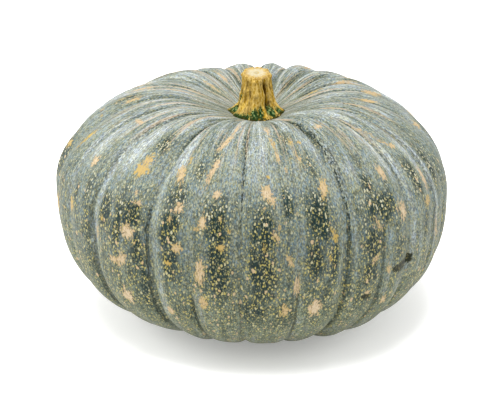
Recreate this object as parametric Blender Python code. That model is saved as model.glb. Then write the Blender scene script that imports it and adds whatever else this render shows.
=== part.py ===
"""Kabocha squash: a ribbed, flattened fruit with a cut stalk seated in its top hollow.

Units are metres and +Z is up. The fruit rests on z = 0, and the origin is under the
middle of its bounding box. Longitudes are in degrees: 0 is the front (-Y), 90 is +X.
"""

import math

import bmesh
import bpy
from mathutils import Matrix, Vector

# Fruit: a rounded dome above its widest level and a flatter, squarer belly below it.
WIDEST_RADIUS = 0.110
DOME_RISE = 0.0610
BELLY_DROP = 0.0773
DOME_SQUARENESS = 2.10
BELLY_SQUARENESS = 2.70
FULLER_SIDE = 0.0257
LEAN = 0.0127

# Hollow round the stalk, and dimple with a raised scar at the blossom end.
HOLLOW_DEPTH = 0.0232
HOLLOW_WIDTH = 0.0356
DIMPLE_DEPTH = 0.0045
DIMPLE_WIDTH = 0.021
SCAR_HEIGHT = 0.0012
SCAR_RADIUS = 0.0055
REST_FLAT = 0.0010

# Lengthwise grooves, each with the lobe that follows it: longitude, groove depth as a
# share of the full groove, and how far the lobe swells in millimetres.
GROOVES = (
    (-4.5, 0.50, 0.0),
    (11.5, 0.50, 0.2),
    (25.0, 1.00, 0.6),
    (37.0, 0.40, 0.8),
    (49.0, 0.90, 0.2),
    (63.0, 0.75, -0.2),
    (74.0, 0.80, 0.3),
    (89.0, 0.95, -0.2),
    (104.0, 0.65, 0.2),
    (117.0, 0.80, 0.7),
    (131.0, 0.75, 1.2),
    (149.0, 0.95, 0.6),
    (165.0, 0.85, -0.2),
    (180.0, 0.95, 0.1),
    (197.0, 0.95, -0.3),
    (212.5, 0.80, 0.5),
    (235.0, 0.90, 0.5),
    (253.0, 0.65, -0.3),
    (268.5, 1.00, 0.3),
    (280.0, 0.60, 0.0),
    (294.0, 0.80, 0.2),
    (310.0, 1.00, 0.4),
    (330.0, 1.15, 0.0),
    (345.0, 0.60, -0.2),
)
GROOVE_DEPTH = 0.0030
GROOVE_SHARPNESS = 2.4
SHOULDER_DEEPENING = 0.45
BELLY_DEEPENING = 0.60

# Stalk: a fluted column, flared at its foot, with a slanting cut face.
STALK_HEIGHT = 0.0262
STALK_TOP_RADIUS = 0.0079
STALK_TAPER = 0.10
FOOT_SPREAD = 0.0044
FOOT_FLARE_HEIGHT = 0.0026
FOOT_EDGE = 0.0012
ROOT_COUNT = 8
ROOT_REACH = 0.0009
CUT_ROUNDING = 0.0012
CUT_DOME = 0.0005
CUT_SLANT = math.radians(8.0)
SEAT_GAP = 0.0004
STALK_FLUTES = (
    (38.0, 0.0013),
    (75.0, 0.0007),
    (112.0, 0.0009),
    (150.0, 0.0008),
    (188.0, 0.0010),
    (225.0, 0.0007),
    (256.0, 0.0008),
    (285.0, 0.0007),
    (323.0, 0.0010),
    (342.0, 0.0006),
)
FLUTE_WIDTH = 9.0

# Mesh fineness.
COLUMNS_PER_LOBE = 6
FRUIT_RINGS = 36
POLE_CROWDING = 0.09
STALK_COLUMNS = 60
STALK_UNDERSIDE_RINGS = 4
STALK_SIDE_RINGS = 15
STALK_CUT_RINGS = 5

# Materials: base colour, roughness.
RIND_COLOR = (0.285, 0.330, 0.270, 1.0)
RIND_ROUGHNESS = 0.62
STALK_COLOR = (0.560, 0.390, 0.130, 1.0)
STALK_ROUGHNESS = 0.80


def smooth_step(low, high, value):
    """0 below low, 1 above high, and a smooth rise between."""
    share = min(max((value - low) / (high - low), 0.0), 1.0)
    return share * share * (3.0 - 2.0 * share)


def bell(distance, width):
    """A smooth bump of height 1 and the given half width."""
    return math.exp(-((distance / width) ** 2))


def angle_between(first, second):
    """Smallest angle in degrees between two longitudes."""
    return abs((first - second + 180.0) % 360.0 - 180.0)


def plain_meridian(tilt):
    """Radius and height of the fruit without its grooves, at an angle from the top."""
    upper = math.cos(tilt) >= 0.0
    squareness = DOME_SQUARENESS if upper else BELLY_SQUARENESS
    radius = WIDEST_RADIUS * abs(math.sin(tilt)) ** (2.0 / squareness)
    level = abs(math.cos(tilt)) ** (2.0 / squareness)
    if upper:
        return radius, DOME_RISE * level - HOLLOW_DEPTH * bell(radius, HOLLOW_WIDTH)
    dimple = DIMPLE_DEPTH * bell(radius, DIMPLE_WIDTH) - SCAR_HEIGHT * bell(radius, SCAR_RADIUS)
    return radius, dimple - BELLY_DROP * level


def meridian_normal(tilt):
    """Outward direction of the plain meridian, as shares of radius and height."""
    step = 0.01
    before = Vector(plain_meridian(max(tilt - step, 0.0)))
    after = Vector(plain_meridian(min(tilt + step, math.pi)))
    along = (after - before).normalized()
    return -along.y, along.x


def groove_reach(radius, height):
    """How deep the grooves are here, as a share of their depth at the widest level."""
    if height > 0.0:
        return smooth_step(0.017, 0.036, radius) * (1.0 + SHOULDER_DEEPENING * bell(radius - 0.050, 0.024))
    return smooth_step(0.008, 0.040, radius) * (1.0 + BELLY_DEEPENING * bell(radius - 0.074, 0.022))


def lobe_place(column):
    """Longitude and outward offset at a place counted in lobes round the fruit."""
    index = math.floor(column + 1e-6)
    share = min(max(column - index, 0.0), 1.0)
    here, here_depth, swell = GROOVES[index % len(GROOVES)]
    following, following_depth, _ = GROOVES[(index + 1) % len(GROOVES)]
    longitude = here + share * ((following - here) % 360.0)
    valley = here_depth * (1.0 - share) ** GROOVE_SHARPNESS + following_depth * share**GROOVE_SHARPNESS
    fullness = 0.001 * swell * math.sin(math.pi * share) ** 2
    return longitude, GROOVE_DEPTH * (0.25 - valley) + fullness


def fruit_point(column, tilt):
    """A point of the ribbed fruit, with its widest level on z = 0."""
    radius, height = plain_meridian(tilt)
    out_radius, out_height = meridian_normal(tilt)
    longitude, offset = lobe_place(column)
    offset *= groove_reach(radius, height)
    turn = math.radians(longitude)
    radius = (radius + offset * out_radius) * (1.0 - FULLER_SIDE * math.sin(turn))
    x = radius * math.sin(turn)
    y = -radius * math.cos(turn)
    z = height + offset * out_height
    z -= LEAN * x * smooth_step(-BELLY_DROP, 0.0, z)
    return Vector((x, y, z))


def seat_height(radius):
    """Height of the hollow's floor under the stalk."""
    tilt = math.asin((radius / WIDEST_RADIUS) ** (DOME_SQUARENESS / 2.0))
    return plain_meridian(tilt)[1]


def stalk_radius(height):
    """Stalk radius at a height above its seat, before flutes and roots."""
    taper = STALK_TAPER * (STALK_HEIGHT - height)
    return STALK_TOP_RADIUS + taper + FOOT_SPREAD * math.exp((FOOT_EDGE - height) / FOOT_FLARE_HEIGHT)


def flute_depth(longitude, height):
    """How far the stalk's flutes cut in at a longitude and a height."""
    cut = sum(depth * bell(angle_between(longitude, at), FLUTE_WIDTH) for at, depth in STALK_FLUTES)
    return cut * smooth_step(0.0, 0.005, height) * (1.0 - 0.5 * smooth_step(0.018, STALK_HEIGHT, height))


def stalk_side(longitude, height):
    """Radius of the fluted stalk at a longitude and a height above its seat."""
    flare = math.exp((FOOT_EDGE - height) / FOOT_FLARE_HEIGHT)
    root = ROOT_REACH * flare * math.cos(math.radians(ROOT_COUNT * longitude))
    return stalk_radius(height) + root - flute_depth(longitude, height)


def stalk_point(longitude, ring):
    """A point of the stalk: rings run from the cut face's middle down to the underside's."""
    side_end = STALK_CUT_RINGS + STALK_SIDE_RINGS
    rim_height = STALK_HEIGHT - CUT_ROUNDING
    if ring <= STALK_CUT_RINGS:
        share = ring / STALK_CUT_RINGS
        rounding = math.radians(90.0 * share**3)
        flat_radius = stalk_side(longitude, rim_height) - CUT_ROUNDING
        radius = flat_radius * share + CUT_ROUNDING * math.sin(rounding)
        height = rim_height + CUT_ROUNDING * math.cos(rounding) + CUT_DOME * (1.0 - share**2)
    elif ring <= side_end:
        share = (ring - STALK_CUT_RINGS) / STALK_SIDE_RINGS
        height = rim_height + (FOOT_EDGE - rim_height) * math.sin(math.radians(90.0 * share))
        radius = stalk_side(longitude, height)
    else:
        share = (ring - side_end - 1) / (STALK_UNDERSIDE_RINGS - 1)
        height = 0.0
        radius = (stalk_side(longitude, FOOT_EDGE) - 0.5 * FOOT_EDGE) * (1.0 - share)
    turn = math.radians(longitude)
    x = radius * math.sin(turn)
    y = -radius * math.cos(turn)
    slant = math.tan(CUT_SLANT) * y * smooth_step(0.5 * STALK_HEIGHT, STALK_HEIGHT, height)
    return Vector((x, y, seat_height(radius) + SEAT_GAP + height + slant))


def turned_mesh(name, columns, rings, place):
    """A closed mesh from a UV sphere whose points are moved by place(longitude share, ring)."""
    shell = bmesh.new()
    bmesh.ops.create_uvsphere(shell, u_segments=columns, v_segments=rings, radius=1.0)
    for vertex in shell.verts:
        turn = math.atan2(vertex.co.x, -vertex.co.y) / (2.0 * math.pi)
        tilt = math.acos(min(max(vertex.co.z, -1.0), 1.0))
        column = round(turn * columns) % columns
        ring = round(tilt / math.pi * rings)
        vertex.co = place(column / columns, ring)
    bmesh.ops.triangulate(shell, faces=shell.faces[:])
    bmesh.ops.recalc_face_normals(shell, faces=shell.faces[:])
    mesh = bpy.data.meshes.new(name)
    shell.to_mesh(mesh)
    shell.free()
    return mesh


def fruit_mesh():
    """The ribbed fruit, with its lowest lobe ends flattened to one resting level."""

    def place(turn, ring):
        even = ring / FRUIT_RINGS
        tilt = math.pi * (even - POLE_CROWDING * math.sin(2.0 * math.pi * even))
        return fruit_point(turn * len(GROOVES), tilt)

    mesh = turned_mesh("fruit", COLUMNS_PER_LOBE * len(GROOVES), FRUIT_RINGS, place)
    rest_level = min(vertex.co.z for vertex in mesh.vertices) + REST_FLAT
    for vertex in mesh.vertices:
        vertex.co.z = max(vertex.co.z, rest_level)
    return mesh


def stalk_mesh():
    """The fluted stalk, on the hollow's floor."""
    rings = STALK_CUT_RINGS + STALK_SIDE_RINGS + STALK_UNDERSIDE_RINGS
    return turned_mesh("stem", STALK_COLUMNS, rings, lambda turn, ring: stalk_point(360.0 * turn, ring))


def plain_material(name, color, roughness):
    """A Principled material of one colour."""
    material = bpy.data.materials.new(name)
    material.use_nodes = True
    shader = material.node_tree.nodes["Principled BSDF"]
    shader.inputs["Base Color"].default_value = color
    shader.inputs["Roughness"].default_value = roughness
    shader.inputs["Metallic"].default_value = 0.0
    return material


def add_piece(collection, mesh, material):
    """Put a mesh in the collection as a smooth-shaded object of the same name."""
    mesh.materials.append(material)
    mesh.shade_smooth()
    mesh.set_sharp_from_angle(angle=math.radians(50.0))
    piece = bpy.data.objects.new(mesh.name, mesh)
    collection.objects.link(piece)
    return piece


def rest_shift(mesh):
    """The move that puts the middle of the mesh's underside on the origin."""
    xs = [vertex.co.x for vertex in mesh.vertices]
    ys = [vertex.co.y for vertex in mesh.vertices]
    lowest = min(vertex.co.z for vertex in mesh.vertices)
    middle = Vector(((min(xs) + max(xs)) / 2.0, (min(ys) + max(ys)) / 2.0, lowest))
    return Matrix.Translation(-middle)


def build():
    """Model the squash in an empty scene."""
    for old in list(bpy.data.objects):
        bpy.data.objects.remove(old)
    collection = bpy.data.collections.new("kabocha_squash")
    bpy.context.scene.collection.children.link(collection)
    fruit = fruit_mesh()
    stalk = stalk_mesh()
    shift = rest_shift(fruit)
    fruit.transform(shift)
    stalk.transform(shift)
    add_piece(collection, fruit, plain_material("rind", RIND_COLOR, RIND_ROUGHNESS))
    add_piece(collection, stalk, plain_material("stalk", STALK_COLOR, STALK_ROUGHNESS))


build()
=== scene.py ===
"""Looks of the kabocha squash: fine rind and stalk meshes, their materials, light and camera.

Units are metres and +Z is up. Longitudes are in degrees: 0 is the front (-Y), 90 is +X.
Places on the rind are a longitude and the millimetres down the rind from the stalk's axis:
the widest level is 139 mm down and the blossom end 295 mm.
"""

import math

import bpy
import numpy as np
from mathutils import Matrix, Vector


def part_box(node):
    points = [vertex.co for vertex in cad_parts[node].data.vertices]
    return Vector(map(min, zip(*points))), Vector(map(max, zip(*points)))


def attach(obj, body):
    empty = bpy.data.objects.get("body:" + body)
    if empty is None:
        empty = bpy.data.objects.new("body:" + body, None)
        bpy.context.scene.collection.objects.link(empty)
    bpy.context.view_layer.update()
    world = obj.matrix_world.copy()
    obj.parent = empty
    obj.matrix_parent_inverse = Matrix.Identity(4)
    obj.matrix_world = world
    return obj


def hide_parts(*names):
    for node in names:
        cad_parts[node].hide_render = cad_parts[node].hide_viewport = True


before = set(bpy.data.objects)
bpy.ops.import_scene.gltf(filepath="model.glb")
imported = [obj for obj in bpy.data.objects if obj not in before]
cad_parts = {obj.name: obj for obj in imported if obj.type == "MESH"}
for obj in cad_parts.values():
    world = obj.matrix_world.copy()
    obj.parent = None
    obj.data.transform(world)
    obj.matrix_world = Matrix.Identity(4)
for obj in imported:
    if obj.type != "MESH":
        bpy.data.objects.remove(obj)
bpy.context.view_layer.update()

# Millimetres in a metre, and a number that only keeps a division from failing.
MM = 1000.0
TINY = 1e-9

# Fruit: a rounded dome above its widest level and a flatter, squarer belly below it.
WIDEST_RADIUS = 0.110
DOME_RISE = 0.0610
BELLY_DROP = 0.0773
DOME_SQUARENESS = 2.10
BELLY_SQUARENESS = 2.70
FULLER_SIDE = 0.0257
LEAN = 0.0127

# Hollow round the stalk, and dimple with a raised scar at the blossom end.
HOLLOW_DEPTH = 0.0232
HOLLOW_WIDTH = 0.0356
DIMPLE_DEPTH = 0.0045
DIMPLE_WIDTH = 0.021
SCAR_HEIGHT = 0.0012
SCAR_RADIUS = 0.0055
REST_FLAT = 0.0010

# The hollow's front edge sags a little.
SAG = 0.0030
SAG_LONGITUDE = 2.0
SAG_HALF_ANGLE = 48.0
SAG_RADIUS = 0.040
SAG_WIDTH = 0.026

# Lengthwise grooves, each with the lobe that follows it: longitude, groove depth as a
# share of the full groove, and how far the lobe swells in millimetres.
GROOVES = (
    (-4.5, 0.5, 0),
    (11.5, 0.5, 0.2),
    (25, 1, 0.6),
    (37, 0.4, 0.8),
    (49, 0.9, 0.2),
    (63, 0.75, -0.2),
    (74, 0.8, 0.1),
    (89, 0.95, -0.3),
    (104, 0.65, 0.2),
    (117, 0.8, 0.7),
    (131, 0.75, 1.2),
    (149, 0.95, 1.4),
    (165, 0.85, 1),
    (180, 0.95, 1.1),
    (197, 0.95, -0.3),
    (212.5, 0.8, 0.5),
    (235, 0.9, -0.7),
    (253, 0.65, -0.8),
    (268.5, 1, 0.5),
    (280, 0.6, 0),
    (294, 0.8, 0.2),
    (310, 1, 0.4),
    (330, 1.15, 0),
    (345, 0.6, -0.2),
)
GROOVE_DEPTH = 0.0030
GROOVE_SHARPNESS = 2.4

# How far the lobes stand out, as a share of the groove depth.
LOBE_RISE = 0.25

# Grooves are deeper round two radii, on the shoulder and on the belly, and they fade out
# between two radii towards the stalk and towards the blossom end.
SHOULDER_RADIUS = 0.050
SHOULDER_WIDTH = 0.024
SHOULDER_DEEPENING = 0.45
BELLY_RADIUS = 0.074
BELLY_WIDTH = 0.022
BELLY_DEEPENING = 0.60
STALK_END_FADE = (0.017, 0.036)
BLOSSOM_END_FADE = (0.008, 0.040)

# Grooves that drift sideways on the belly: longitude, half width and drift in degrees. The
# drift comes in between two distances down.
GROOVE_DRIFTS = (
    (-51, 6, -1.4),
    (-15, 6.5, -3.2),
)
DRIFT_BELT = (105.0, 165.0)

# Finer relief of the rind: a narrow crease in each groove, deeper on the belly, a faint
# furrow down the middle of lobes that are wide in degrees, fine ridges near the top, and a
# slow unevenness. Belts are a distance down and a half length in millimetres.
CREASE_DEPTH = 0.0005
CREASE_WIDTH = 0.0016
BELLY_CREASE = 2.6
BELLY_CREASE_BELT = (185.0, 34.0)
FURROW_DEPTH = 0.00035
FURROW_WIDTH = 0.0040
FURROW_LOBES = (12.0, 18.0)
RIDGE_HEIGHT = 0.00012
RIDGE_BELT = (60.0, 35.0)
UNEVENNESS = 0.00035

# Stalk: a fluted column with a slanting cut face and a flared foot, which is sunk into the
# rind. Below the seat height it follows the hollow's sag.
STALK_SHIFT = -0.0006
STALK_HEIGHT = 0.0250
STALK_TOP_RADIUS = 0.0077
STALK_TAPER = 0.125
FOOT_SPREAD = 0.0043
FOOT_FLARE_HEIGHT = 0.0033
FOOT_EDGE = 0.0012
FOOT_SINK = 0.0012
FOOT_SEAT_HEIGHT = 0.006
ROOT_COUNT = 8
ROOT_REACH = 0.0007
ROOT_FLARE = 1.6
CUT_ROUNDING = 0.0012
CUT_RIM_SHARPNESS = 8
CUT_DOME = 0.0005
CUT_SLANT = math.radians(11.0)
UNDERSIDE_EDGE = 0.98

# Flutes: longitude and depth. They wander by some degrees, are uneven in depth, start just
# above the foot and are shallower at the top.
STALK_FLUTES = (
    (36, 0.0022),
    (68, 0.0008),
    (112, 0.0009),
    (150, 0.0008),
    (188, 0.001),
    (225, 0.0007),
    (256, 0.0008),
    (272, 0.0011),
    (292, 0.001),
    (318, 0.001),
    (339, 0.0007),
)
FLUTE_WIDTH = 8.0
FLUTE_WANDER = 3.0
FLUTE_UNEVENNESS = 0.35
FLUTE_START = 0.005
FLUTE_TOP = 0.018
FLUTE_TOP_FADE = 0.4
FIBRE_HEIGHT = 0.00020

# Knobs on the stalk: longitude, height above the seat, half width and rise in millimetres.
STALK_KNOBS = (
    (-132, 23.4, 1.1, 0.7),
    (180, 23.6, 1, 0.8),
    (-95, 22.9, 1.1, 0.6),
    (84, 23, 1.2, 0.7),
    (-62, 22.4, 0.9, 0.4),
    (-36, 22.9, 1.1, 0.5),
    (-8, 22.5, 0.8, 0.4),
    (16, 22.9, 1, 0.5),
    (58, 22.4, 1, 0.5),
    (130, 23.2, 1.1, 0.6),
    (0, 13.5, 1.3, 0.4),
    (-75, 12, 1.2, 0.4),
    (-28, 16.5, 1, 0.4),
    (74, 17, 1.1, 0.4),
    (-52, 8, 1.2, 0.5),
    (50, 10, 1, 0.4),
)

# Roots of the stalk's foot: longitude, half width in degrees and reach in millimetres.
STALK_ROOTS = (
    (-42, 20, 0.9),
    (-10, 12, 0.9),
    (24, 7, 1),
    (62, 9, 0.6),
    (105, 10, 0.8),
    (160, 14, 0.7),
    (215, 9, 0.9),
    (262, 12, 0.8),
)

# Mesh fineness.
COLUMNS_PER_LOBE = 18
FRUIT_RINGS = 220
STALK_COLUMNS = 240
STALK_UNDERSIDE_RINGS = 4
STALK_SIDE_RINGS = 120
STALK_CUT_RINGS = 40

# Splashes: longitude, down, half width in mm, half length in mm, lean in degrees, yellowness.
SPLASHES = (
    (-38.3, 95.5, 2.7, 4.2, 0, 0.55),
    (-38.5, 101.5, 4, 4.4, 0, 0.65),
    (-24.5, 99.5, 2.2, 6, -8, 0.35),
    (-23.6, 89.5, 0.9, 4.5, 0, 0.7),
    (-14.8, 95, 1.8, 9.5, 12, 0.1),
    (-13.3, 73.5, 1.9, 7, 20, 0.15),
    (-10.9, 61, 0.9, 6.5, 12, 0.1),
    (-58.9, 107, 2.6, 3.6, 0, 0.2),
    (-63.6, 136, 3.6, 4.6, 30, 0.6),
    (-37.2, 135.2, 3.8, 4.6, 0, 0.2),
    (-39.3, 151.5, 2.5, 4.4, 20, 0.2),
    (-42.2, 154, 3.4, 2.2, 0, 0.3),
    (-49.5, 143, 1.6, 5, 0, 0.2),
    (-36.8, 114.7, 1.1, 1.9, 0, 0.1),
    (-35.2, 119.5, 3, 1.6, 0, 0.1),
    (-22.2, 117.6, 2.5, 2.8, 0, 0.2),
    (-24.3, 124, 1.5, 1.8, 0, 0.4),
    (-21.7, 138.6, 2.9, 2.6, 0, 0.4),
    (-24.5, 147.6, 1.9, 1.5, 0, 0.7),
    (-15, 123.8, 2, 5, 0, 0.3),
    (-16.4, 127.3, 1.8, 1.7, 0, 0.4),
    (-15.4, 151, 2.8, 7.2, 0, 0.3),
    (-14.9, 168.5, 2.5, 4.2, 10, 0.4),
    (-11.7, 108.3, 2.2, 2.4, 0, 0.1),
    (-9.7, 135.8, 2.1, 2, 0, 0.6),
    (-10.1, 121, 0.9, 1.4, 0, 0.3),
    (-7.4, 127, 1, 1.1, 0, 0.6),
    (-39.6, 175, 3.4, 5.6, 0, 0.2),
    (-25.4, 178.5, 2, 3, 0, 0.2),
    (-47.2, 133, 1.4, 1.6, 0, 0.7),
    (-73.6, 101, 1.6, 7, 8, 0.8),
    (-59.8, 75, 4, 1.8, 0, 0.1),
    (2.6, 106.8, 2.5, 4.6, -20, 0.2),
    (4.3, 110.6, 2.1, 3.4, -20, 0.2),
    (6.4, 76, 1.1, 7, -10, 0.4),
    (7.2, 84.5, 1.2, 4.5, -6, 0.2),
    (4.6, 61, 1, 7, -10, 0.1),
    (20.4, 106, 2.6, 6.4, 14, 0.4),
    (15, 86, 0.9, 6, -10, 0.2),
    (13.8, 73.6, 1.1, 3, 0, 0.6),
    (17.4, 75, 1.1, 1.4, 0, 0.6),
    (9.8, 94.5, 0.8, 3.4, -8, 0.2),
    (5.1, 129.6, 1.5, 3.8, -8, 0.2),
    (6, 123.8, 0.9, 2, 0, 0.4),
    (8.6, 142, 1.5, 5.2, -22, 0.3),
    (10.9, 158, 1.8, 6.4, 0, 0.1),
    (21.6, 131.6, 1.7, 4.6, -16, 0.7),
    (20, 143.5, 1.1, 1.9, 0, 0.8),
    (18.7, 148.3, 0.9, 1.3, 0, 0.6),
    (16.4, 171.8, 3.4, 5.6, 0, 0.2),
    (7.7, 172.3, 2.1, 4.6, 0, 0.4),
    (1.9, 135.5, 0.9, 2.6, 0, 0.8),
    (3.3, 97.7, 1, 1, 0, 0.8),
    (45.4, 127, 3.4, 5, 0, 0.1),
    (42.1, 104.5, 1.9, 5, 0, 0.1),
    (35.6, 130, 1.3, 4.6, -35, 0.2),
    (34.4, 148.6, 3, 1.7, -20, 0.2),
    (39.5, 157, 1.3, 3.4, -14, 0.3),
    (61, 116.5, 2.5, 7, 0, 0),
    (58.6, 128.8, 3.2, 2.6, -30, 0.5),
    (56, 93, 2, 2.2, 0, 0.3),
    (51.6, 79, 0.8, 6.5, -14, 0.2),
    (53.8, 89, 0.9, 5, -30, 0.2),
    (65.3, 148.5, 1.4, 6.5, -10, 0.1),
    (31.3, 64.5, 2.2, 1.8, 0, 0.1),
    (32.6, 168, 2.2, 1.4, 0, 0.2),
    (40.5, 177.5, 2.2, 2.8, 0, 0.2),
    (-151.5, 44, 0.9, 12, 0, 0.1),
    (-131, 37, 0.9, 8, 0, 0.3),
    (145, 40, 1.1, 9, -6, 0.6),
    (110, 36, 1, 6, 0, 0.6),
)

# Turn of the arms from one splash to the next, and the distance that stands for no mark.
ARM_TURN = 0.37
FAR = 50.0

# Lobes that start between these longitudes get scattered marks of the same kinds, with no
# splash below the last distance down.
SCATTER_SEED = 5
SCATTER_FROM = 80.0
SCATTER_TO = 279.0
LOWEST_SPLASH = 190.0

# Dark, flecked patches: longitude, half width in degrees, down, half length in mm, strength.
DARK_PATCHES = (
    (-73, 3, 130, 13, 0.55),
    (-74.5, 2, 154, 10, 0.5),
    (-63, 2, 150, 12, 0.5),
    (-61, 1.4, 127, 7, 0.9),
    (-55.5, 2.6, 122, 14, 0.55),
    (-53.8, 1.3, 150, 28, 0.6),
    (-46.6, 2.7, 129, 12, 0.9),
    (-42, 3.2, 138, 11, 0.75),
    (-37, 2.8, 82.5, 8.5, 1),
    (-38.5, 4.6, 127, 12, 0.85),
    (-35.6, 2.8, 126, 8, 1),
    (-34.2, 2, 144, 14, 0.9),
    (-36, 2.6, 158, 9, 0.5),
    (-32.7, 1.2, 164, 20, 0.85),
    (-24, 4.6, 112, 10, 0.75),
    (-24.7, 3.9, 130, 14, 1),
    (-24.2, 3.2, 147, 13, 0.9),
    (-20, 3, 73, 9, 0.3),
    (-18.5, 2.4, 95, 9, 0.45),
    (-10.8, 3.9, 126, 15, 0.9),
    (-10.4, 3.5, 148, 22, 1),
    (1.8, 4.4, 128, 17, 0.85),
    (1.4, 3.9, 149, 20, 1),
    (3.2, 1.8, 150, 14, 0.9),
    (8.7, 1.7, 113, 10, 0.85),
    (11.5, 3.4, 69, 7, 0.8),
    (10.5, 2, 80, 6, 0.6),
    (18.3, 2.6, 90, 11, 0.75),
    (17.4, 4.2, 122, 16, 0.9),
    (16, 2.8, 143, 14, 0.95),
    (21.5, 1.6, 147, 14, 0.95),
    (19, 3.6, 162, 10, 0.5),
    (35, 2.4, 109, 7, 0.9),
    (35, 3.4, 121, 9, 0.9),
    (39.5, 3, 122, 10, 0.85),
    (33.6, 3.8, 140, 11, 0.95),
    (33, 3.4, 156, 8, 0.85),
    (35.6, 2, 92, 10, 0.5),
    (44, 4, 146, 8, 0.5),
    (56, 2.6, 114, 13, 0.8),
    (57, 3.4, 142, 12, 0.5),
    (68.5, 2.8, 114, 18, 0.7),
    (27, 1.4, 160, 20, 0.55),
    (-1, 5, 172, 12, 0.7),
    (8, 4, 175, 12, 0.6),
    (-20, 6, 176, 10, 0.45),
)

# Pale patches, partly wax and partly painted sheen on groove flanks: longitude, half width in
# degrees, down, half length in mm, strength.
WAX_AND_SHEEN_PATCHES = (
    (-66.9, 1, 100, 60, 0.9),
    (-62, 3, 92, 22, 0.8),
    (-50.2, 1.3, 118, 60, 1.1),
    (-51.8, 0.8, 160, 26, 0.8),
    (-45.6, 3.6, 86, 22, 1),
    (-28.8, 1.8, 118, 64, 0.65),
    (-26.5, 2.2, 80, 24, 0.6),
    (-18, 2.6, 66, 12, 0.45),
    (-18.4, 1.2, 140, 30, 0.35),
    (-4.8, 1.8, 110, 60, 0.25),
    (0.5, 3.2, 82, 22, 0.6),
    (-8, 3, 66, 14, 0.5),
    (11.5, 1.3, 138, 26, 0.5),
    (24, 1.5, 118, 52, 0.5),
    (22.5, 2.2, 84, 18, 0.7),
    (27.6, 0.9, 130, 45, 0.5),
    (39.4, 1.5, 154, 26, 0.6),
    (46.5, 2.4, 92, 22, 1),
    (50.6, 1.5, 126, 58, 0.8),
    (54, 1.4, 150, 26, 0.5),
    (60.8, 2.2, 100, 24, 1),
    (64.8, 1.3, 130, 50, 1),
    (31, 2, 100, 8, 0.5),
    (-27.6, 2, 172, 16, 0.7),
    (-16.4, 1.8, 174, 14, 0.6),
    (12.6, 1.4, 172, 14, 0.5),
    (46, 5, 174, 12, 0.5),
)


# Patches are ovals at a squareness of 2, and fuller above it.
RIND_PATCH_SQUARENESS = 2.5

# Where no patch is: shade of the middle belt; wax of the top, partly painted light from above;
# and dark in the grooves near the top, partly painted shade of their valleys. Starts and ends
# are two distances down, the belt is one with its half length.
MIDDLE_SHADE = 0.30
MIDDLE_START = (96.0, 122.0)
MIDDLE_END = (170.0, 210.0)
UPPER_WAX_AND_PAINTED_LIGHT = 0.30
UPPER_END = (48.0, 108.0)
VALLEY_GREEN_AND_PAINTED_SHADE = 0.9
VALLEY_WIDTH = 1.3
VALLEY_BELT = (62.0, 34.0)

# Dark dotted lines beside the grooves, mostly on the side away from the front: partly the
# rind's own dots, partly painted shade of the groove's far flank. Longitude, from and to in
# mm down, strength.
GROOVE_LINES = (
    (-67, 60, 150, 0.5),
    (-51.6, 55, 165, 0.6),
    (-31, 60, 135, 0.9),
    (-4.6, 60, 128, 1),
    (26.3, 62, 140, 1),
    (27.8, 70, 104, 0.7),
    (38, 60, 92, 0.4),
    (49.6, 90, 116, 0.5),
    (64.2, 90, 170, 0.6),
    (-31.2, 118, 205, 0.9),
    (26, 125, 205, 0.8),
    (-4.8, 122, 190, 0.5),
    (-18.2, 166, 205, 0.8),
    (11.2, 150, 205, 0.7),
    (37.6, 128, 200, 0.6),
    (-52.6, 120, 200, 0.7),
)
LINE_REACH = 4.0
LINE_START_FADE = 6.0
LINE_END_FADE = 12.0

# Scrapes: longitude and down of both ends, and half width in mm.
SCRAPES = (
    (42.2, 158.2, 45.2, 158, 1.9),
    (44.8, 158, 47.8, 158, 2.7),
    (47.4, 158, 49.6, 157.2, 2.8),
    (31.6, 170.3, 33.8, 171, 1.3),
)
SCRAPE_DEPTH = 0.0002
SCRAPE_EDGE = (0.35, 0.75)

# Rind colours in 0 to 255 steps.
WAX_COOL = (126, 135, 143)
WAX_WARM = (145, 147, 134)
GREY_COOL = (79, 94, 98)
GREY_WARM = (99, 103, 86)
OLIVE = (79, 87, 72)
GREEN_DARK = (10, 30, 28)
FLECK_YELLOW = (152, 141, 76)
FLECK_PALE = (162, 159, 134)
FLECK_DIM = (130, 134, 112)
STREAK_TAN = (157, 138, 114)
SPLASH_CREAM = (172, 156, 130)
SPLASH_TAN = (158, 138, 108)
SPLASH_BROWN = (132, 113, 84)
SPLASH_OCHRE = (154, 130, 62)
LINE_GREEN = (14, 24, 16)
SCRAPE_GREEN = (12, 20, 2)
SCAR_BROWN = (110, 86, 60)

# Stalk colours in 0 to 255 steps.
CORK_GOLD = (136, 106, 16)
CORK_PALE = (206, 178, 106)
CORK_BROWN = (72, 50, 0)
STALK_GREEN = (14, 42, 12)
LEAF_GREEN = (106, 126, 78)
ROOT_GOLD = (194, 166, 84)
CUT_CREAM = (166, 157, 130)
CUT_RIM = (164, 142, 84)
CUT_SPOT = (130, 100, 34)
KNOB_BROWN = (122, 88, 20)
FOOT_DARK = (40, 36, 4)

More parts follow.
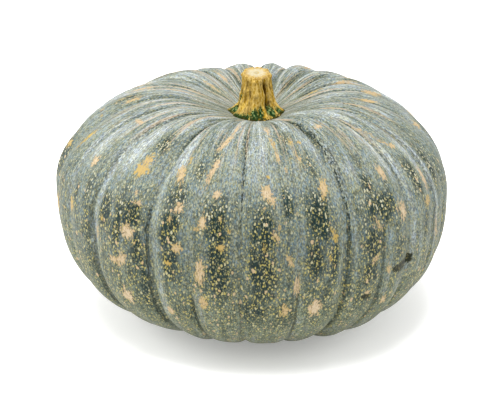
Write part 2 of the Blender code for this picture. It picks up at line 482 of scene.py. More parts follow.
# Stalk marks: longitude, half width in degrees, height, half height in mm, strength.
STALK_GREENS = (
    (-70, 6, 10, 6, 0.8),
    (-80, 16, 3.5, 3.4, 1),
    (-48, 26, 0.6, 3, 1),
    (-34, 16, 1.2, 2.8, 1),
    (-24, 12, 1.4, 2.8, 1),
    (-5, 17, 2.6, 5, 1),
    (12, 9, 4, 4.6, 1),
    (43, 12, 4.2, 4.4, 1),
    (68, 4, 9, 5, 0.8),
    (76, 14, 2.4, 3, 1),
    (118, 12, 3.5, 4, 0.9),
    (150, 16, 4, 3.6, 0.9),
    (190, 18, 3, 4, 0.9),
    (238, 16, 4, 4.4, 0.9),
)
STALK_GOLDS = (
    (-44, 13, 6.8, 2.5, 0.9),
    (18, 2.6, 8.6, 3, 1),
    (21.5, 2.8, 5.6, 2.6, 1),
    (26, 3.2, 2.6, 2.4, 1),
    (-9, 3, 6.4, 1.6, 0.8),
    (60, 6, 7, 3.6, 0.9),
    (104, 9, 6, 4, 0.9),
    (172, 6, 5, 5, 0.8),
    (215, 9, 6, 5, 0.9),
    (262, 9, 6, 4, 0.8),
)
STALK_PATCH_SQUARENESS = 2.0

# Camera: distance and height angle as in the photograph, whose frame is 500 pixels wide.
IMAGE_WIDTH = 500
IMAGE_HEIGHT = 400
CAMERA_DISTANCE = 0.9163
CAMERA_ELEVATION = math.radians(20.3)
FOCAL_LENGTH_PIXELS = 1618.4
SENSOR_WIDTH_MM = 36.0
AXIS_PIXEL = (257.3, 180.3)

# Floor and light: name, place, size and power of each lamp.
WHITE = (1.0, 1.0, 1.0, 1.0)
FLOOR_WHITE = (0.9, 0.9, 0.9, 1.0)
FLOOR_HALF_WIDTH = 3.0
FLOOR_GLOW = 0.25
SURROUNDING_LIGHT = 0.86
LIGHT_TARGET = (0.0, 0.0, 0.06)
LIGHTS = (
    ("top", (-0.1, -0.2, 1.3), 0.8, 25.0),
    ("left", (-1.2, 0.1, 0.6), 0.8, 12.5),
    ("right", (1.2, 0.1, 0.6), 0.8, 6.5),
)

# Sockets of a node that mixes colours: both colours, and the result.
MIX_FIRST, MIX_SECOND, MIX_RESULT = 6, 7, 2

# Radius in millimetres round which the stalk's paint is unrolled.
STALK_PAINT_RADIUS = 10.0


def smooth_step(low, high, value):
    """0 below low, 1 above high, and a smooth rise between."""
    share = np.clip((value - low) / (high - low), 0.0, 1.0)
    return share * share * (3.0 - 2.0 * share)


def bell(distance, width):
    """A smooth bump of height 1 and the given half width."""
    return np.exp(-((distance / width) ** 2))


def belt(down, place, half_length):
    """A smooth bump round one distance down the rind."""
    return bell(down - place, half_length)


def angle_between(first, second):
    """Signed angle in degrees from the second longitude to the first, at most half a turn."""
    return (first - second + 180.0) % 360.0 - 180.0


def plain_meridian(tilt):
    """Radius and height of the fruit without its grooves, at angles from the top."""
    upper = np.cos(tilt) >= 0.0
    squareness = np.where(upper, DOME_SQUARENESS, BELLY_SQUARENESS)
    radius = WIDEST_RADIUS * np.abs(np.sin(tilt)) ** (2.0 / squareness)
    level = np.abs(np.cos(tilt)) ** (2.0 / squareness)
    dimple = DIMPLE_DEPTH * bell(radius, DIMPLE_WIDTH) - SCAR_HEIGHT * bell(radius, SCAR_RADIUS)
    dome = DOME_RISE * level - HOLLOW_DEPTH * bell(radius, HOLLOW_WIDTH)
    return radius, np.where(upper, dome, dimple - BELLY_DROP * level)


def meridian_normal(tilt):
    """Outward direction of the plain meridian, as shares of radius and height."""
    step = 0.01
    radius_before, height_before = plain_meridian(np.maximum(tilt - step, 0.0))
    radius_after, height_after = plain_meridian(np.minimum(tilt + step, math.pi))
    along_radius = radius_after - radius_before
    along_height = height_after - height_before
    length = np.hypot(along_radius, along_height)
    return -along_height / length, along_radius / length


def groove_reach(radius, height):
    """How deep the grooves are here, as a share of their depth at the widest level."""
    shoulder = 1.0 + SHOULDER_DEEPENING * bell(radius - SHOULDER_RADIUS, SHOULDER_WIDTH)
    belly = 1.0 + BELLY_DEEPENING * bell(radius - BELLY_RADIUS, BELLY_WIDTH)
    above = smooth_step(*STALK_END_FADE, radius) * shoulder
    below = smooth_step(*BLOSSOM_END_FADE, radius) * belly
    return np.where(height > 0.0, above, below)


def front_sag(longitude, radius):
    """How far the top of the fruit hangs lower at the front of its hollow."""
    front = bell(angle_between(longitude, SAG_LONGITUDE), SAG_HALF_ANGLE)
    return SAG * front * bell(radius - SAG_RADIUS, SAG_WIDTH)


def even_tilts(rings):
    """Columns of angles that divide the meridian evenly, and of the length down to each."""
    dense = np.linspace(0.0, math.pi, 4001)
    radius, height = plain_meridian(dense)
    steps = np.hypot(np.diff(radius), np.diff(height))
    down = np.concatenate([[0.0], np.cumsum(steps)])
    even = np.linspace(0.0, down[-1], rings + 1)
    return np.interp(even, down, dense)[:, None], even[:, None]


def grid_mesh(name, points):
    """A closed smooth mesh from rings of points, whose first and last ring are single points."""
    columns = points.shape[1]
    middle = points[1:-1].reshape(-1, 3)
    vertices = np.vstack([points[0].mean(axis=0), middle, points[-1].mean(axis=0)])
    here = np.arange(columns)
    following = (here + 1) % columns
    last = len(vertices) - 1
    faces = [(0, 1 + a, 1 + b) for a, b in zip(here, following)]
    for upper in range(1, last - columns, columns):
        lower = upper + columns
        faces += [(upper + a, lower + a, lower + b, upper + b) for a, b in zip(here, following)]
    faces += [(last - columns + a, last, last - columns + b) for a, b in zip(here, following)]
    mesh = bpy.data.meshes.new(name)
    mesh.from_pydata(vertices.tolist(), [], faces)
    mesh.shade_smooth()
    return mesh


def per_vertex(values):
    """Values of a grid of rings in the order of grid_mesh's vertices."""
    return np.concatenate([[values[0].mean()], values[1:-1].ravel(), [values[-1].mean()]])


def add_fields(mesh, name, first, second, third):
    """Store three numbers for each vertex."""
    field = mesh.attributes.new(name, "FLOAT_VECTOR", "POINT")
    columns = np.stack([per_vertex(first), per_vertex(second), per_vertex(third)], axis=-1)
    field.data.foreach_set("vector", columns.astype(np.float32).ravel())


def patch_field(around, along, patches, squareness):
    """Strongest of the soft patches at every point."""
    field = np.zeros(around.shape)
    for longitude, half_width, place, half_length, strength in patches:
        across = np.abs(angle_between(around, longitude) / half_width) ** squareness
        lengthwise = np.abs((along - place) / half_length) ** squareness
        field = np.maximum(field, strength * np.exp(-across - lengthwise))
    return field


def ridge_pattern(turn, down):
    """Fine lengthwise ridges that wander a little, between -1 and 1."""
    wander = 0.35 * np.sin(3.0 * turn + 45.0 * down) + 0.2 * np.sin(7.0 * turn - 80.0 * down)
    return (np.sin(97.0 * turn + 3.0 * wander) + np.sin(61.0 * turn - 4.0 * wander + 1.3)) / 2.0


def slow_pattern(turn, down):
    """Slow unevenness over the whole rind, between about -1 and 1."""
    first = np.sin(5.0 * turn + 38.0 * down + 0.7) * np.sin(70.0 * down + 2.0 * turn)
    second = np.sin(11.0 * turn - 52.0 * down + 2.1) * np.cos(43.0 * down - 3.0 * turn)
    return 0.6 * first + 0.4 * second


def add_object(name, data):
    """Put a mesh, lamp or camera into the scene."""
    thing = bpy.data.objects.new(name, data)
    bpy.context.scene.collection.objects.link(thing)
    return thing


def aim(thing, place, target):
    """Put a lamp or camera at its place, facing its target."""
    thing.location = place
    thing.rotation_mode = "QUATERNION"
    thing.rotation_quaternion = (target - place).to_track_quat("-Z", "Y")


class Rind:
    """The rind's grid of rings and columns, its places and its painted fields."""

    def __init__(self):
        lobes = len(GROOVES)
        column = np.arange(COLUMNS_PER_LOBE * lobes)
        index = column // COLUMNS_PER_LOBE
        share = column / COLUMNS_PER_LOBE - index
        table = np.array(GROOVES)
        here, following = table[index], table[(index + 1) % lobes]
        gap = (following[:, 0] - here[:, 0]) % 360.0
        self.longitude = here[:, 0] + share * gap
        self.lobe_angle = gap
        valley = here[:, 1] * (1.0 - share) ** GROOVE_SHARPNESS
        valley = valley + following[:, 1] * share**GROOVE_SHARPNESS
        swelling = here[:, 2] / MM * np.sin(math.pi * share) ** 2
        self.offset = GROOVE_DEPTH * (LOBE_RISE - valley) + swelling
        self.groove_depth = np.where(share < 0.5, here[:, 1], following[:, 1])
        self.tilt, self.down = even_tilts(FRUIT_RINGS)
        self.radius, self.height = plain_meridian(self.tilt)
        self.mm_per_degree = np.radians(MM * self.radius)
        self.from_groove = np.where(share < 0.5, share, share - 1.0) * gap * self.mm_per_degree
        self.from_middle = (share - 0.5) * gap * self.mm_per_degree
        self.along = np.broadcast_to(MM * self.down, self.from_groove.shape)
        self.around = self.longitude + np.zeros(self.along.shape)
        for at, half_width, drift in GROOVE_DRIFTS:
            lower = smooth_step(*DRIFT_BELT, self.along)
            self.around += drift * lower * bell(angle_between(self.longitude, at), half_width)
        self.splashes = list(SPLASHES)
        self.dark_patches = list(DARK_PATCHES)
        self.wax_and_sheen_patches = list(WAX_AND_SHEEN_PATCHES)
        self.lines = list(GROOVE_LINES)
        self.scatter_marks()

    def scatter_marks(self):
        """Marks for the sides away from the camera, lobe by lobe, like those in front."""
        rng = np.random.default_rng(SCATTER_SEED)
        draw = rng.uniform
        for (groove, depth, _), following in zip(GROOVES, GROOVES[1:]):
            if not SCATTER_FROM < groove < SCATTER_TO:
                continue
            gap = following[0] - groove

            # A long waxy band beside the groove, partly painted sheen, a short broad one near
            # the top, and a dark line in the groove, partly painted shade.
            side = rng.choice((-1.5, 1.5))
            self.wax_and_sheen_patches.append((groove + side, 1.4, 118.0, 58.0, draw(0.6, 0.9)))
            self.wax_and_sheen_patches.append((groove + 0.3 * gap, 0.2 * gap, draw(72.0, 90.0), 22.0, 0.8))
            self.lines.append((groove, draw(58.0, 80.0), draw(120.0, 185.0), 0.9 * depth))

            self.scatter_dark(draw, groove + 0.5 * gap, gap)
            self.scatter_splashes(draw, groove + 0.2 * gap)
            self.scatter_splashes(draw, groove + 0.7 * gap)

    def scatter_dark(self, draw, middle, gap):
        """Five dark patches about the lobe's widest level and one near its top."""
        lobe_strength = draw(0.6, 1.1)
        for _ in range(5):
            place = middle + draw(-0.28, 0.28) * gap
            patch = (draw(0.09, 0.24) * gap, draw(108.0, 164.0), draw(7.0, 17.0))
            self.dark_patches.append((place, *patch, lobe_strength * draw(0.65, 1.1)))
        high = (middle + draw(-0.3, 0.3) * gap, 2.6, draw(68.0, 92.0), 9.0)
        self.dark_patches.append((*high, draw(0.3, 0.9)))

    def scatter_splashes(self, draw, row):
        """A thin streak near the top and a row of star-like splashes below it."""
        place = (row + draw(-2.0, 2.0), draw(60.0, 80.0))
        size = (draw(0.8, 1.6), draw(5.0, 9.0))
        self.splashes.append((*place, *size, draw(-12.0, 12.0), draw(0.0, 0.5)))
        down = draw(88.0, 112.0)
        while down < LOWEST_SPLASH:
            half_width = draw(1.0, 3.2)
            half_length = half_width * draw(0.9, 2.2)
            place = (row + draw(-1.6, 1.6), down)
            lean_and_tint = (draw(-20.0, 20.0), draw(0.05, 0.6))
            self.splashes.append((*place, half_width, half_length, *lean_and_tint))
            down += half_length + draw(10.0, 30.0)

    def points(self):
        """Places of the grid's points, with the widest level on z = 0."""
        out_radius, out_height = meridian_normal(self.tilt)
        turn = np.radians(self.around)
        offset = self.relief() * groove_reach(self.radius, self.height)
        offset = offset - SCRAPE_DEPTH * smooth_step(*SCRAPE_EDGE, self.scrape_field())
        wide = (self.radius + offset * out_radius) * (1.0 - FULLER_SIDE * np.sin(turn))
        x = wide * np.sin(turn)
        y = -wide * np.cos(turn)
        z = self.height + offset * out_height
        z = z - LEAN * x * smooth_step(-BELLY_DROP, 0.0, z)
        z = z - front_sag(self.around, self.radius) * (self.height > 0.0)
        return np.stack([x, y, z], axis=-1)

    def relief(self):
        """How far the lobes, grooves and finer relief stand out at their full reach."""
        crease = CREASE_DEPTH * self.groove_depth * bell(self.from_groove, MM * CREASE_WIDTH)
        crease = crease * (1.0 + BELLY_CREASE * belt(self.along, *BELLY_CREASE_BELT))
        furrow = FURROW_DEPTH * bell(self.from_middle, MM * FURROW_WIDTH)
        furrow = furrow * smooth_step(*FURROW_LOBES, self.lobe_angle)
        turn = np.radians(self.longitude)
        ridges = RIDGE_HEIGHT * belt(self.along, *RIDGE_BELT) * ridge_pattern(turn, self.down)
        return self.offset - crease - furrow + ridges + UNEVENNESS * slow_pattern(turn, self.down)

    def scrape_field(self):
        """Closeness to the scrapes: 1 on their middle line and 0.5 at their edge."""
        field = np.zeros(self.around.shape)
        for start, start_down, end, end_down, half_width in SCRAPES:
            across = (self.around - start) * self.mm_per_degree
            down = self.along - start_down
            length_across = (end - start) * self.mm_per_degree
            length_down = end_down - start_down
            length_squared = length_across**2 + length_down**2 + TINY
            share = np.clip((across * length_across + down * length_down) / length_squared, 0.0, 1.0)
            distance = np.hypot(across - share * length_across, down - share * length_down)
            field = np.maximum(field, 1.0 - distance / (2.0 * half_width))
        return field

    def splash_fields(self):
        """The nearest splash at every point, as six grids of numbers.

        First come the millimetres outside its edge, its yellowness and its smaller half size;
        then the place across and along it in half sizes, and a number that turns its arms.
        """
        fields = np.zeros((6, *self.around.shape))
        fields[0] = FAR
        for number, (longitude, down, half_width, half_length, lean, tint) in enumerate(self.splashes):
            sideways = angle_between(self.around, longitude) * self.mm_per_degree
            lengthways = self.along - down
            cosine, sine = math.cos(math.radians(lean)), math.sin(math.radians(lean))
            across = (sideways * cosine + lengthways * sine) / half_width
            along = (lengthways * cosine - sideways * sine) / half_length
            smaller = min(half_width, half_length)
            edge = (np.hypot(across, along) - 1.0) * smaller
            own = np.broadcast_arrays(edge, tint, smaller, across, along, ARM_TURN * number)
            fields = np.where(edge < fields[0], own, fields)
        return fields

    def line_fields(self):
        """Signed millimetres from the nearest dark line, and how strong it is here."""
        offset = np.full(self.around.shape, FAR)
        strength = np.zeros(offset.shape)
        for longitude, start, end, amount in self.lines:
            sideways = angle_between(self.around, longitude) * self.mm_per_degree
            begins = smooth_step(start - LINE_START_FADE, start + LINE_START_FADE, self.along)
            ends = 1.0 - smooth_step(end - LINE_END_FADE, end + LINE_END_FADE, self.along)
            nearer = np.abs(sideways) < np.abs(offset)
            offset = np.where(nearer, sideways, offset)
            strength = np.where(nearer, amount * begins * ends, strength)
        return offset, np.where(np.abs(offset) < LINE_REACH, strength, 0.0)

    def paint_fields(self, mesh):
        """Store everything that the rind's material reads."""
        turn = np.radians(self.around)
        reach = MM * WIDEST_RADIUS
        add_fields(mesh, "unrolled", reach * np.sin(turn), reach * np.cos(turn), self.along)
        splash = self.splash_fields()
        add_fields(mesh, "splash", *splash[:3])
        add_fields(mesh, "arms", *splash[3:])
        add_fields(mesh, "line", *self.line_fields(), self.scrape_field())
        middle = smooth_step(*MIDDLE_START, self.along) * (1.0 - smooth_step(*MIDDLE_END, self.along))
        # Dark in the grooves near the top, more in deeper grooves: partly the rind's green, partly
        # painted shade of the groove valleys.
        valley = self.groove_depth * bell(self.from_groove, VALLEY_WIDTH)
        valley = valley * belt(self.along, *VALLEY_BELT)
        shade = np.maximum(MIDDLE_SHADE * middle, VALLEY_GREEN_AND_PAINTED_SHADE * valley)
        dark = patch_field(self.around, self.along, self.dark_patches, RIND_PATCH_SQUARENESS)
        upper = 1.0 - smooth_step(*UPPER_END, self.along)
        # Pale patches: wax, and beside the grooves partly painted sheen on the groove flanks.
        pale = patch_field(self.around, self.along, self.wax_and_sheen_patches, RIND_PATCH_SQUARENESS)
        # The top's pale wax is partly painted light from above.
        add_fields(mesh, "zones", np.maximum(dark, shade), np.maximum(pale, UPPER_WAX_AND_PAINTED_LIGHT * upper), upper)


def settle(points):
    """Flatten the lowest lobe ends to one resting level."""
    rest_level = points[..., 2].min() + REST_FLAT
    points[..., 2] = np.maximum(points[..., 2], rest_level)
    return points


def frame_shift(points):
    """The move that puts the fruit's points over its solid in the frame."""
    low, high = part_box("fruit")
    own_low, own_high = points.min(axis=(0, 1)), points.max(axis=(0, 1))
    shift = (np.array(low) + np.array(high)) / 2.0 - (own_low + own_high) / 2.0
    shift[2] = low.z - own_low[2]
    return shift


def seat_height(radius):
    """Height of the hollow's floor under the stalk."""
    tilt = np.arcsin((radius / WIDEST_RADIUS) ** (DOME_SQUARENESS / 2.0))
    return plain_meridian(tilt)[1]


def flute_cut(longitude, height):
    """Depth of the stalk's flutes."""
    cut = 0.0
    for at, depth in STALK_FLUTES:
        wander = FLUTE_WANDER * np.sin(260.0 * height + at)
        depth_here = depth * (1.0 + FLUTE_UNEVENNESS * np.sin(610.0 * height + 2.0 * at))
        cut = cut + depth_here * bell(angle_between(longitude, at + wander), FLUTE_WIDTH)
    fading = 1.0 - FLUTE_TOP_FADE * smooth_step(FLUTE_TOP, STALK_HEIGHT, height)
    return cut * smooth_step(0.0, FLUTE_START, height) * fading


def stalk_fibres(longitude, height):
    """Fine lengthwise fibres, between about -1 and 1."""
    turn = np.radians(longitude)
    wander = 0.5 * np.sin(4.0 * turn + 300.0 * height) + 0.3 * np.sin(9.0 * turn - 520.0 * height)
    return 0.6 * np.sin(37.0 * turn + wander) + 0.4 * np.sin(53.0 * turn - 1.5 * wander + 0.8)


def knob_rise(longitude, height):
    """Rise of the stalk's knobs."""
    rise = np.zeros(np.broadcast(longitude, height).shape)
    for at, level, half_width, knob_height in STALK_KNOBS:
        sideways = np.radians(angle_between(longitude, at)) * MM * STALK_TOP_RADIUS
        distance = np.hypot(sideways, MM * height - level)
        rise = rise + knob_height / MM * bell(distance, half_width)
    return rise


def stalk_side(longitude, height):
    """Radius of the fluted stalk at longitudes and heights above its seat."""
    flare = np.exp((FOOT_EDGE - height) / FOOT_FLARE_HEIGHT)
    root_flare = np.exp((FOOT_EDGE - height) / (ROOT_FLARE * FOOT_FLARE_HEIGHT))
    plain = STALK_TOP_RADIUS + STALK_TAPER * (STALK_HEIGHT - height) + FOOT_SPREAD * flare
    root = ROOT_REACH * flare * np.cos(np.radians(ROOT_COUNT * longitude))
    for at, half_width, reach in STALK_ROOTS:
        root = root + reach / MM * root_flare * bell(angle_between(longitude, at), half_width)
    fibres = FIBRE_HEIGHT * stalk_fibres(longitude, height)
    return plain + root + fibres + knob_rise(longitude, height) - flute_cut(longitude, height)


def stalk_levels():
    """Heights of the stalk's rings, from the cut face down, and the cut rings' shares."""
    rim_height = STALK_HEIGHT - CUT_ROUNDING
    cut_share = np.linspace(0.0, 1.0, STALK_CUT_RINGS + 1)
    rounding = np.radians(90.0 * cut_share**CUT_RIM_SHARPNESS)
    cut_height = rim_height + CUT_ROUNDING * np.cos(rounding) + CUT_DOME * (1.0 - cut_share**2)
    side_share = np.linspace(0.0, 1.0, STALK_SIDE_RINGS + 1)[1:]
    side_height = rim_height + (FOOT_EDGE - rim_height) * np.sin(np.radians(90.0 * side_share))
    return rim_height, cut_share, rounding, cut_height, side_height


def make_stalk(shift):
    """The fine stalk, standing in the hollow, with its painted fields."""
    longitude = (np.arange(STALK_COLUMNS) * 360.0 / STALK_COLUMNS)[None]
    rim_height, cut_share, rounding, cut_height, side_height = stalk_levels()
    flat = stalk_side(longitude, rim_height) - CUT_ROUNDING
    cut_radius = flat * cut_share[:, None] + CUT_ROUNDING * np.sin(rounding)[:, None]
    side_radius = stalk_side(longitude, side_height[:, None])
    inward = np.linspace(UNDERSIDE_EDGE, 0.0, STALK_UNDERSIDE_RINGS)[:, None]
    radius = np.vstack([cut_radius, side_radius, side_radius[-1] * inward])
    height = np.concatenate([cut_height, side_height, np.zeros(STALK_UNDERSIDE_RINGS)])[:, None]
    turn = np.radians(longitude)
    x = radius * np.sin(turn)
    y = -radius * np.cos(turn)
    slant = math.tan(CUT_SLANT) * y * smooth_step(0.5 * STALK_HEIGHT, STALK_HEIGHT, height)
    low = 1.0 - smooth_step(0.0, FOOT_SEAT_HEIGHT, height)
    seat = seat_height(radius) - LEAN * x - (FOOT_SINK + front_sag(longitude, radius)) * low
    points = np.stack([x + STALK_SHIFT, y, seat + height + slant], axis=-1) + shift
    mesh = grid_mesh("stalk", points)
    paint_stalk_fields(mesh, longitude, height, x, y, cut_share)
    return add_object("stalk", mesh)


def paint_stalk_fields(mesh, longitude, height, x, y, cut_share):
    """Store everything that the stalk's material reads."""
    around = np.broadcast_to(longitude, x.shape)
    turn = np.radians(around)
    height = np.broadcast_to(height, x.shape)
    level = MM * height
    cut = np.zeros(x.shape)
    cut[: STALK_CUT_RINGS + 1] = cut_share[:, None]
    face = np.zeros(x.shape)
    face[:STALK_CUT_RINGS] = 1.0
    reach = STALK_PAINT_RADIUS
    add_fields(mesh, "unrolled", reach * np.sin(turn), reach * np.cos(turn), level)
    add_fields(mesh, "place", MM * x, MM * y, level)
    add_fields(mesh, "shape", MM * flute_cut(around, height), MM * knob_rise(around, height), cut)
    greens = patch_field(around, level, STALK_GREENS, STALK_PATCH_SQUARENESS)
    golds = patch_field(around, level, STALK_GOLDS, STALK_PATCH_SQUARENESS)
    add_fields(mesh, "zones", greens, golds, face)


def linear(color):
    """Scene colour of a 0 to 255 display colour."""
    shares = [step / 255.0 for step in color]
    return (*[s / 12.92 if s < 0.04045 else ((s + 0.055) / 1.055) ** 2.4 for s in shares], 1.0)


def feed(socket, value):
    """Join a socket to a value, or give it a fixed number or colour."""
    if isinstance(value, Value):
        socket.id_data.links.new(value.socket, socket)
    else:
        socket.default_value = value


def add_node(tree, kind, *values, **options):
    """A new node. Values feed its first sockets; an option with a capital feeds a socket too."""
    node = tree.nodes.new(kind)
    for name, value in options.items():
        if name[0].isupper():
            feed(node.inputs[name], value)
        else:
            setattr(node, name, value)
    for socket, value in zip(node.inputs, values):
        feed(socket, value)
    return node


class Value:
    """A number, place or colour that a material works out at every point."""

    def __init__(self, socket):
        self.socket = socket

    def node(self, kind, *values, **options):
        """A new node in the same material."""
        return add_node(self.socket.id_data, kind, *values, **options)

    def math(self, operation, *others):
        """One sum on numbers."""
        return Value(self.node("ShaderNodeMath", self, *others, operation=operation).outputs[0])

    def __add__(self, other):
        return self.math("ADD", other)

    def __sub__(self, other):
        return self.math("SUBTRACT", other)

    def __mul__(self, other):
        return self.math("MULTIPLY", other)

    def size(self):
        """The number without its sign."""
        return self.math("ABSOLUTE")

    def sway(self, amount):
        """A number around 0.5 turned into a swing about zero."""
        return (self - 0.5) * amount

    def rise(self, low, high):
        """0 at low, 1 at high, smooth between; low may be above high."""
        smooth = {"interpolation_type": "SMOOTHSTEP"}
        return Value(self.node("ShaderNodeMapRange", self, low, high, 0.0, 1.0, **smooth).outputs[0])

    def blend(self, low_color, high_color):
        """The first colour where this number is 0, the second where it is 1."""
        node = self.node("ShaderNodeMix", self, data_type="RGBA")
        for socket, color in ((MIX_FIRST, low_color), (MIX_SECOND, high_color)):
            feed(node.inputs[socket], linear(color) if isinstance(color, tuple) else color)
        return Value(node.outputs[MIX_RESULT])

    def parts(self):
        """The three numbers of a place or colour."""
        return [Value(socket) for socket in self.node("ShaderNodeSeparateXYZ", self).outputs]

    def stretched(self, factor):
        """A place with its last number multiplied, to draw patterns out lengthwise."""
        factors = (1.0, 1.0, factor)
        return Value(self.node("ShaderNodeVectorMath", self, factors, operation="MULTIPLY").outputs[0])

    def scaled(self, factor):
        """A colour made lighter or darker."""
        return Value(self.node("ShaderNodeVectorMath", self, operation="SCALE", Scale=factor).outputs[0])

    def bent(self, scale, amount):
        """A place pushed about by clouds, so that round cells turn uneven."""
        clouds = Value(self.node("ShaderNodeTexNoise", Vector=self, Scale=scale).outputs["Color"])
        values = (clouds, (amount, amount, amount), self)
        return Value(self.node("ShaderNodeVectorMath", *values, operation="MULTIPLY_ADD").outputs[0])

    def noise(self, scale, detail=2.0, roughness=0.5):
        """Cloudy numbers around 0.5."""
        looks = {"Vector": self, "Scale": scale, "Detail": detail, "Roughness": roughness}
        return Value(self.node("ShaderNodeTexNoise", **looks).outputs[0])

    def cells(self, scale):
        """Distance to the nearest of many scattered points, and that point's random number."""
        node = self.node("ShaderNodeTexVoronoi", Vector=self, Scale=scale)
        return Value(node.outputs["Distance"]), Value(node.outputs["Color"]).parts()[0]


def new_material(name):
    """A new material and its shader."""
    material = bpy.data.materials.new(name)
    material.use_nodes = True
    return material, material.node_tree.nodes["Principled BSDF"]


def fields(shader, name):
    """Three numbers stored on the mesh."""
    return Value(add_node(shader.id_data, "ShaderNodeAttribute", attribute_name=name).outputs["Vector"])


def coat(shader, **looks):
    """Give the shader its looks by name, with _ for each space."""
    for name, value in looks.items():
        feed(shader.inputs[name.replace("_", " ")], value)


def bump(height, distance):
    """Fine relief for a shader's normal."""
    return Value(height.node("ShaderNodeBump", Distance=distance, Height=height).outputs[0])


def rind_material():
    """Grey-green rind: flecks, splashes, wax bands partly painted sheen, lines partly painted shade."""
    material, shader = new_material("rind")
    unrolled = fields(shader, "unrolled")
    down = unrolled.parts()[2]
    dark, pale, upper = fields(shader, "zones").parts()
    fine = unrolled.stretched(0.6).noise(1.2, 3.0, 0.6)
    medium = unrolled.noise(0.22)
    ragged = unrolled.stretched(0.5).noise(0.9, 3.0, 0.65)
    threads = unrolled.stretched(0.30).noise(1.3, 2.0, 0.7)
    streaks = unrolled.stretched(0.11).noise(0.8, 3.0, 0.65)
    strands = unrolled.stretched(0.09).noise(0.34, 3.0, 0.7)

    # Shade: 0 is pale, 1 is dark green. Pale is wax, partly painted sheen and top light.
    swing = medium.sway(0.4) + streaks.sway(0.7) + strands.sway(upper * 1.7 + 0.6)
    shade = pale * -0.40 + 0.38 + dark * 0.57 + swing

    # Its colours: cooler or warmer from thread to thread, olive low down and in the hollow; the
    # darker olive low down is partly painted shade of the underside.
    warmth = (threads + medium.sway(0.3)).rise(0.40, 0.60)
    body = warmth.blend(GREY_COOL, GREY_WARM)
    body = (down + medium.sway(30.0)).rise(128.0, 182.0).blend(body, OLIVE)
    body = (down + strands.sway(20.0)).rise(46.0, 26.0).blend(body, OLIVE)
    ground = shade.rise(-0.12, 0.50).blend(warmth.blend(WAX_COOL, WAX_WARM), body)
    ground = shade.rise(0.34, 0.92).blend(ground, GREEN_DARK)

    # Lighter and darker grain, and thin tan streaks towards the stalk.
    grain = (fine * 0.4 + streaks * 0.6).rise(0.41, 0.59)
    ground = ground.scaled(grain * 0.66 + 0.665).scaled(fine.rise(0.38, 0.62) * 0.50 + 0.75)
    tan = unrolled.stretched(0.05).noise(0.40).rise(0.575, 0.65) * (upper * 0.8)
    ground = tan.blend(ground, STREAK_TAN)

    color, flecks = add_flecks(ground, unrolled, down, shade, upper)
    color, splash = add_splashes(color, shader, fine, medium, ragged)

    # Dark dashed lines beside the grooves, each a close pair, unbroken lower down: partly the
    # rind's own dots, partly painted shade in the grooves.
    offset, strength, scraped = fields(shader, "line").parts()
    line = ((offset + medium.sway(2.4)).size() - 0.40).size().rise(0.60, 0.18)
    dashes = unrolled.stretched(0.6).noise(0.9, 1.0).rise(0.46, 0.54)
    dashes = dashes.math("MAXIMUM", down.rise(112.0, 140.0) * 0.75)
    line = line * dashes * strength * (splash * -1.0 + 1.0)
    color = line.blend(color, LINE_GREEN)

    # Scrapes, and the corky scar at the blossom end.
    torn = scraped + (ragged.sway(1.2) + fine.sway(1.0))
    sunken = (fine.rise(0.54, 0.62) * 0.25).blend(SCRAPE_GREEN, FLECK_YELLOW)
    color = torn.rise(0.34, 0.50).blend(color, sunken)
    color = (down + ragged * 4.0).rise(289.0, 292.0).blend(color, SCAR_BROWN)

    relief = fine * 0.5 + flecks * 0.35 + splash * 0.3 + line * -0.6
    coat(shader, Base_Color=color, Roughness=dark * -0.06 + 0.62 + splash * 0.08)
    coat(shader, Specular_IOR_Level=0.15, Normal=bump(relief, 0.00022))
    return material


def add_flecks(ground, unrolled, down, shade, upper):
    """Yellow flecks crowding the dark rind, paler and fainter ones elsewhere."""
    shade = down.rise(136.0, 172.0) * 0.22 + shade
    bent = unrolled.bent(0.7, 1.2)

    # Tiny grains.
    distance, chance = bent.stretched(0.55).cells(1.10)
    grains = distance.rise(0.46, 0.22) * (shade.rise(0.0, 0.60) * 0.40 + 0.08)
    color = grains.blend(ground, chance.blend(FLECK_YELLOW, FLECK_DIM))

    # Flecks that grow with the shade, and are paler near the top and smaller low down.
    distance, chance = bent.stretched(0.66).cells(0.70)
    size = chance * 0.25 + 0.115 + shade.rise(0.40, 0.85) * 0.04 + down.rise(150.0, 185.0) * -0.03
    flecks = (distance - size).rise(0.08, -0.03)
    flecks = flecks * (shade.rise(0.0, 0.72) * (upper * -0.2 + 0.86))
    paleness = chance - 0.85 + down.rise(138.0, 106.0) * 0.7
    bright = paleness.rise(-0.15, 0.35).blend(FLECK_YELLOW, FLECK_PALE)
    color = flecks.blend(color, shade.rise(0.20, 0.75).blend(FLECK_DIM, bright))

    # Dark pin pricks towards the stalk.
    distance, chance = bent.stretched(0.6).cells(0.55)
    pricks = distance.rise(0.34, 0.22) * chance.rise(0.42, 0.48) * upper * shade.rise(0.10, 0.45)
    color = pricks.blend(color, GREEN_DARK)

    # A few large blots among them.
    distance, chance = bent.bent(0.5, 2.0).stretched(0.75).cells(0.30)
    blots = (distance - chance * 0.26).rise(0.03, -0.01)
    blots = blots * chance.rise(0.55, 0.60) * shade.rise(0.45, 0.70)
    return blots.blend(color, chance.blend(SPLASH_OCHRE, SPLASH_TAN)), flecks


